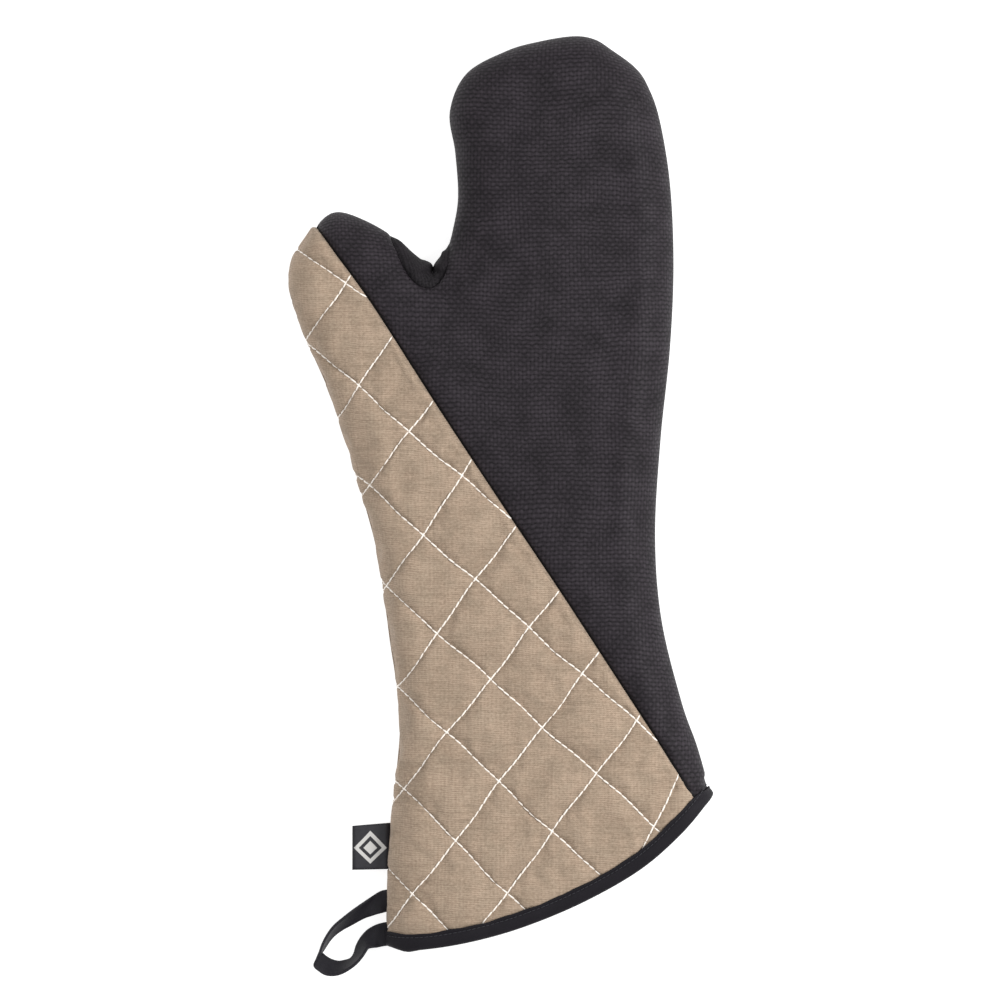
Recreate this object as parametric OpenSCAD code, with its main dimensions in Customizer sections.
// Long two-tone oven mitt, lying on its back with the fingers towards +Y.
// X is across the hand, Z is up from the table, and the thumb is on the -X side.
// Every ply is a shell between two solids of one family: mitt_solid(depth) is the
// mitt drawn in by "depth" from its outer surface.

/* [Mitt] */
// Length from the fingertips to the lowest point of the cuff
mitt_length = 610; // [560:5:660]
// Height of the filled mitt, without the cuff binding
mitt_height = 36; // [34:1:42]
// Radius of the lower, back edge
back_radius = 10; // [9.5:0.5:12]
// Width over which the upper, palm side rounds down to the seam
front_round = 24; // [20:1:26]

/* [Plies] */
// Thickness of the whole fabric wall
wall = 8.5; // [8:0.1:9]
// Thickness of the rubber-faced knit
neoprene_t = 3; // [2:0.1:3.5]
// Thickness of the canvas
canvas_t = 1; // [0.8:0.1:1.4]
// Thickness of the inner lining
lining_t = 1.9; // [1.2:0.1:2]
// Space left between neighbouring plies
ply_gap = 0.2; // [0.15:0.05:0.3]

/* [Quilting] */
// Distance between the lines that run down to the right
quilt_pitch_a = 45; // [40:1:55]
// Distance between the lines that run up to the right
quilt_pitch_b = 47.2; // [40:0.2:55]
// Slope of the lines that run down to the right, in degrees
quilt_angle_a = -42; // [-50:1:-35]
// Slope of the lines that run up to the right, in degrees
quilt_angle_b = 53.5; // [45:0.5:60]
// Width of the sewing thread on the surface
thread_w = 1; // [0.8:0.1:1.2]

/* [Trim] */
// Width of the bias binding on each face of the cuff
binding_w = 11; // [9:0.5:14]
// Thickness of the binding cloth
binding_t = 0.8; // [0.6:0.1:1]
// Width of the hanging tape
tape_w = 15.5; // [12:0.5:18]
// Thickness of the hanging tape
tape_t = 1.6; // [1.2:0.1:2]
// How far the folded label stands out of the seam
label_reach = 23; // [18:1:28]
// Length of the folded label along the seam
label_w = 29; // [22:1:32]
// Thickness of the folded label
label_t = 1.2; // [0.8:0.1:1.6]

/* [Folding] */
// Distance of the finger fold from the middle of the mitt
finger_fold_y = 204; // [200:1:215]
// Distance of the thumb fold from the crotch
thumb_fold_u = 17.5; // [15:0.5:20]
// Space between the plies on the two sides of a fold
fold_gap = 0.6; // [0.6:0.1:1]

/* [Hidden] */
PLIES = [
    "neoprene_hand", "neoprene_fingers", "neoprene_thumb",
    "canvas_gauntlet", "canvas_thumb",
    "quilting_gauntlet", "quilting_thumb",
    "felt_hand", "felt_fingers", "felt_thumb",
    "wadding_gauntlet", "wadding_thumb",
    "lining_hand", "lining_fingers", "lining_thumb"
];

// The shapes below are drawn for this length and scaled to mitt_length.
drawn_length = 610;
k = mitt_length / drawn_length;

// The binding passes under the cuff, so the plies start this far above the table.
lift = binding_t;
seam_z = lift + back_radius;
front_rise = mitt_height - back_radius;

// Depths of the three ply surfaces
middle_end = wall - lining_t - ply_gap;
lining_start = wall - lining_t;

// Gap on each side of a sewn seam
seam_gap = 0.2;
// A size larger than the mitt, for cutting blocks
far = 420;

// Outline of the mitt seen from above, counter-clockwise from the right end of the cuff.
// The last seven knots close it below the cuff, where it is cut open.
outline_knots = k * [
    [137, -187], [122, -131], [109, -76], [104, -20], [107, 44], [113, 104],
    [115.5, 160], [113.5, 214], [106, 258], [91, 291], [66, 309.5], [38, 312.5],
    [6, 304], [-21, 288], [-33.5, 263], [-31, 236], [-28.5, 206], [-31.5, 181],
    [-38.5, 166], [-46, 159], [-54.5, 164.5], [-69, 178.5], [-88, 189.5],
    [-107, 194.5], [-126, 184], [-139.5, 163], [-140, 141], [-128.5, 111],
    [-112, 70], [-96, 17], [-81.5, -36], [-74, -90], [-68.5, -140],
    [-70.5, -190], [-74.5, -240], [-75.5, -290],
    [-76, -322], [-66, -343], [-42, -346], [42, -316], [128, -276], [154, -258],
    [153, -230]
];

// Outer edge of the cuff binding, left to right, run on past both sides of the mitt
cuff_knots = k * [
    [-125, -282], [-100, -290], [-75, -294], [-48, -295.5], [-14, -290], [20, -280],
    [58, -263.5], [94, -241], [122, -216], [142, -190], [158, -162], [170, -135]
];

// Panel seam, from the thumb's outer edge to the right end of the cuff
panel_seam_top = k * [-122, 184];
panel_seam_end = k * [129, -193];

// Lower edge of the web gusset and two corners in the gap between thumb and fingers
web_knots = k * [
    [-72, 186], [-68, 170], [-61, 154], [-52, 145.5], [-44, 145.5], [-38.5, 151],
    [-34, 161], [-33, 174], [-45, 190]
];

// The thumb folds about a line through the crotch, along thumb_fold_dir.
crotch = k * [-46, 148.5];
thumb_fold_dir = [0.57, 0.82] / norm([0.57, 0.82]);
thumb_fold_normal = [-thumb_fold_dir.y, thumb_fold_dir.x];

// Quilting lines: how many, and the offset of the first from the origin
quilt_count_a = 7;
quilt_first_a = 41;
quilt_count_b = 9;
quilt_first_b = -170.6;
quilt_groove = 0.55;

// Hanging tape: centre, height above the table, and tilt of the tape's width from level
tape_route = [
    [[-76.8, -264], seam_z, 0], [[-80, -264.8], seam_z, 4], [[-86, -267.5], 10.4, 25],
    [[-97, -274], 9.6, 52], [[-108, -282], 8.8, 68], [[-114, -289], 8.4, 80],
    [[-119, -297], 8.3, 88], [[-119.5, -304], 8.3, 80], [[-112, -309], 8.3, 66],
    [[-102, -306], 8.6, 66], [[-95, -299], 9, 62], [[-89.5, -292], 9.6, 48],
    [[-84, -287], 10.4, 24], [[-80, -285.6], seam_z, 4], [[-76.8, -285.2], seam_z, 0]
];

label_root = k * [-75.4, -227.5];

// ---- curves ----

function spline_point(a, b, c, d, t) =
    0.5 * (2 * b + (c - a) * t + (2 * a - 5 * b + 4 * c - d) * t * t
        + (3 * b - a - 3 * c + d) * t * t * t);

function closed_spline(knots, steps) =
    let (n = len(knots))
    [for (i = [0:n - 1]) for (s = [0:steps - 1])
        spline_point(knots[(i + n - 1) % n], knots[i], knots[(i + 1) % n],
            knots[(i + 2) % n], s / steps)];

function open_spline(knots, steps) =
    [for (i = [1:len(knots) - 3]) for (s = [0:steps - 1])
        spline_point(knots[i - 1], knots[i], knots[i + 1], knots[i + 2], s / steps)];

function unit(v) = v / norm(v);
function turned_right(v) = [v.y, -v.x];

// Unit normals, on the right-hand side of the curve's direction
function normals_of(points, closed) =
    let (n = len(points))
    [for (i = [0:n - 1])
        let (before = closed ? (i + n - 1) % n : max(i - 1, 0))
        let (after = closed ? (i + 1) % n : min(i + 1, n - 1))
        turned_right(unit(points[after] - points[before]))];

outline = closed_spline(outline_knots, 2);
outward = normals_of(outline, true);

// ---- the family of nested solids ----

// One level ring of the mitt, drawn in from the outline by "inset"
function ring(inset, z) =
    [for (i = [0:len(outline) - 1])
        [outline[i].x - outward[i].x * inset, outline[i].y - outward[i].y * inset, z]];

function mitt_rings(depth) = concat(
    [for (turn = [90, 45, 0])
        ring(back_radius - (back_radius - depth) * cos(turn),
            seam_z - (back_radius - depth) * sin(turn))],
    [for (turn = [28, 58, 90])
        ring(front_round - (front_round - depth) * cos(turn),
            seam_z + (front_rise - depth) * sin(turn))]
);

module stacked_rings(rings) {
    n = len(rings[0]);
    top = (len(rings) - 1) * n;
    walls = [for (r = [0:len(rings) - 2]) for (i = [0:n - 1]) for (half = [0, 1])
        let (a = r * n + i, b = r * n + (i + 1) % n)
        half == 0 ? [b, a, b + n] : [a, a + n, b + n]];
    caps = [[for (i = [0:n - 1]) i], [for (i = [n - 1:-1:0]) top + i]];
    polyhedron(points = [for (r = rings) each r], faces = concat(walls, caps));
}

module mitt_solid(depth) {
    stacked_rings(mitt_rings(depth));
}

// ---- cutting blocks ----

module block(height = far) {
    linear_extrude(height = height, center = true)
        children();
}

// Everything on the finger side of the cuff edge, starting "margin" from it
module above_cuff(margin) {
    edge = open_spline(cuff_knots, 2);
    side = normals_of(edge, false);
    line = [for (i = [0:len(edge) - 1]) edge[i] - side[i] * margin];
    block()
        polygon(concat(line, [[far, -100], [far, far], [-far, far], [-far, -280]]));
}

// The canvas side of the panel seam, moved "margin" towards the black panel
module canvas_side(margin) {
    along = unit(panel_seam_end - panel_seam_top);
    across = turned_right(along);
    from = panel_seam_top - along * far - across * margin;
    to = panel_seam_end + along * far - across * margin;
    block()
        polygon([from, to, to + across * 2 * far, from + across * 2 * far]);
}

// The finger side of the finger fold
module finger_side(margin) {
    translate([-far, k * finger_fold_y - margin, -far])
        cube([2 * far, far, 2 * far]);
}

// The thumb side of the thumb fold, kept out of the fingers
module thumb_side(margin) {
    foot = crotch + thumb_fold_normal * (thumb_fold_u - margin);
    inner = foot + thumb_fold_dir * 14;
    outer = foot - thumb_fold_dir * 112;
    block()
        polygon([inner, k * [-44, 230], k * [-230, 230], k * [-230, 40], outer]);
}

module web_area(margin) {
    block()
        offset(delta = margin)
            polygon(closed_spline(web_knots, 2));
}

// One of the two faces of the mitt
module face_half(side) {
    z = side == "palm_side" ? seam_z + seam_gap / 2 : seam_z - seam_gap / 2 - far;
    translate([-far, -far, z])
        cube([2 * far, 2 * far, far]);
}

module zone(name) {
    if (name == "fingers")
        intersection() {
            children();
            finger_side(-fold_gap / 2);
        }
    else if (name == "thumb")
        intersection() {
            children();
            thumb_side(-fold_gap / 2);
        }
    else
        difference() {
            children();
            finger_side(fold_gap / 2);
            thumb_side(fold_gap / 2);
        }
}

// ---- plies ----

// A zero size keeps every drawn length: the finished cloth piece is one smooth mesh.
module cloth() {
    resize([0, 0, 0])
        children();
}

module shell(outer, inner) {
    difference() {
        mitt_solid(outer);
        mitt_solid(inner);
    }
}

// Part of a shell on one face and in one zone, ending inside the cuff binding
module panel(side, zone_name, outer, inner) {
    intersection() {
        zone(zone_name)
            shell(outer, inner);
        face_half(side);
        above_cuff(binding_t + ply_gap);
    }
}

module black_panel(side, zone_name, outer, inner) {
    cloth()
        difference() {
            panel(side, zone_name, outer, inner);
            canvas_side(seam_gap);
            children();
        }
}

module tan_panel(side, zone_name, outer, inner) {
    cloth()
        intersection() {
            panel(side, zone_name, outer, inner);
            canvas_side(-seam_gap);
        }
}

module quilt_lines(width) {
    module family(angle, first, pitch, count) {
        for (i = [0:count - 1])
            rotate(angle)
                translate([0, k * (first + i * pitch)])
                    square([3 * far, width], center = true);
    }
    block() {
        family(quilt_angle_a, quilt_first_a, -quilt_pitch_a, quilt_count_a);
        family(quilt_angle_b, -quilt_first_b, -quilt_pitch_b, quilt_count_b);
    }
}

module neoprene(side, zone_name) {
    color("#2e2c30")
        black_panel(side, zone_name, 0, neoprene_t)
            web_area(0);
}

module felt(side, zone_name) {
    color("#8d8a86")
        black_panel(side, zone_name, neoprene_t + ply_gap, middle_end);
}

module canvas(side, zone_name) {
    color("#b4a189")
        cloth()
            difference() {
                intersection() {
                    panel(side, zone_name, 0, canvas_t);
                    canvas_side(-seam_gap);
                }
                intersection() {
                    shell(-1, quilt_groove);
                    quilt_lines(thread_w + 2 * seam_gap);
                }
            }
}

module quilting(side, zone_name) {
    color("#e9e4da")
        cloth()
            intersection() {
                panel(side, zone_name, 0, quilt_groove - seam_gap / 2);
                canvas_side(-2 * seam_gap);
                quilt_lines(thread_w);
            }
}

module wadding(side, zone_name) {
    color("#ece8df")
        tan_panel(side, zone_name, canvas_t + ply_gap, middle_end);
}

module lining(side, zone_name) {
    color("#c9c1b4")
        cloth()
            panel(side, zone_name, lining_start, wall);
}

// The gusset goes from the palm side to the back through the gap beside the thumb.
module web_gusset(zone_name) {
    color("#26252a")
        cloth()
            zone(zone_name)
                intersection() {
                    shell(0, neoprene_t);
                    web_area(-seam_gap);
                }
}

// ---- trim ----

// Space taken by the bound cuff edge between two distances from it
module cuff_band(near, beyond) {
    difference() {
        above_cuff(near);
        above_cuff(beyond);
    }
}

module cuff_binding() {
    color("#1d1d24")
        cloth()
            difference() {
                intersection() {
                    shell(-binding_t, wall + binding_t + ply_gap);
                    cuff_band(0, binding_w);
                }
                intersection() {
                    shell(-ply_gap / 4, wall + ply_gap / 2);
                    above_cuff(binding_t);
                }
                stitch_groove(0.2);
            }
}

module stitch_groove(extra) {
    intersection() {
        shell(-binding_t - extra, -binding_t / 2);
        cuff_band(binding_w - 3 - extra / 2, binding_w - 2 + extra / 2);
    }
}

module cuff_binding_stitch() {
    color("#2b2b33")
        cloth()
            intersection() {
                shell(-binding_t, -binding_t / 2 - 0.05);
                cuff_band(binding_w - 3, binding_w - 2);
            }
}

function tape_corner(i, across, up) =
    let (last = len(tape_route) - 1)
    let (here = tape_route[i])
    let (along = unit(tape_route[min(i + 1, last)][0] - tape_route[max(i - 1, 0)][0]))
    let (side = turned_right(along))
    let (flat_end = i == 0 || i == last)
    let (out = flat_end ? [0, i == 0 ? 1 : -1] : side)
    let (width_dir = [out.x * cos(here[2]), out.y * cos(here[2]), sin(here[2])])
    let (thick_dir = [-out.x * sin(here[2]), -out.y * sin(here[2]), cos(here[2])])
    [k * here[0].x, k * here[0].y, here[1]]
        + width_dir * across * tape_w / 2 + thick_dir * up * tape_t / 2;

module hanging_loop() {
    corners = [[-1, -1], [1, -1], [1, 1], [-1, 1]];
    last = len(tape_route) - 1;
    points = [for (i = [0:last]) for (c = corners) tape_corner(i, c.x, c.y)];
    sides = [for (i = [0:last - 1]) for (j = [0:3]) for (half = [0, 1])
        let (a = 4 * i + j, b = 4 * i + (j + 1) % 4)
        half == 0 ? [a, b, b + 4] : [a, b + 4, a + 4]];
    ends = [[3, 2, 1, 0], [for (j = [0:3]) 4 * last + j]];
    color("#1b1b22")
        polyhedron(points = points, faces = concat(sides, ends));
}

module side_label() {
    color("#17171c")
        translate([label_root.x - label_reach, label_root.y - label_w / 2, seam_z - label_t / 2])
            cube([label_reach, label_w, label_t]);
}

module ply_node(side, ply) {
    if (ply == "neoprene_hand") neoprene(side, "hand");
    if (ply == "neoprene_fingers") neoprene(side, "fingers");
    if (ply == "neoprene_thumb") neoprene(side, "thumb");
    if (ply == "canvas_gauntlet") canvas(side, "hand");
    if (ply == "canvas_thumb") canvas(side, "thumb");
    if (ply == "quilting_gauntlet") quilting(side, "hand");
    if (ply == "quilting_thumb") quilting(side, "thumb");
    if (ply == "felt_hand") felt(side, "hand");
    if (ply == "felt_fingers") felt(side, "fingers");
    if (ply == "felt_thumb") felt(side, "thumb");
    if (ply == "wadding_gauntlet") wadding(side, "hand");
    if (ply == "wadding_thumb") wadding(side, "thumb");
    if (ply == "lining_hand") lining(side, "hand");
    if (ply == "lining_fingers") lining(side, "fingers");
    if (ply == "lining_thumb") lining(side, "thumb");
}

for (side = ["palm_side", "back_side"])
    for (ply = PLIES)
        ply_node(side, ply);
web_gusset("hand");
web_gusset("thumb");  // web_gusset_thumb_end
cuff_binding();
cuff_binding_stitch();
hanging_loop();
side_label();
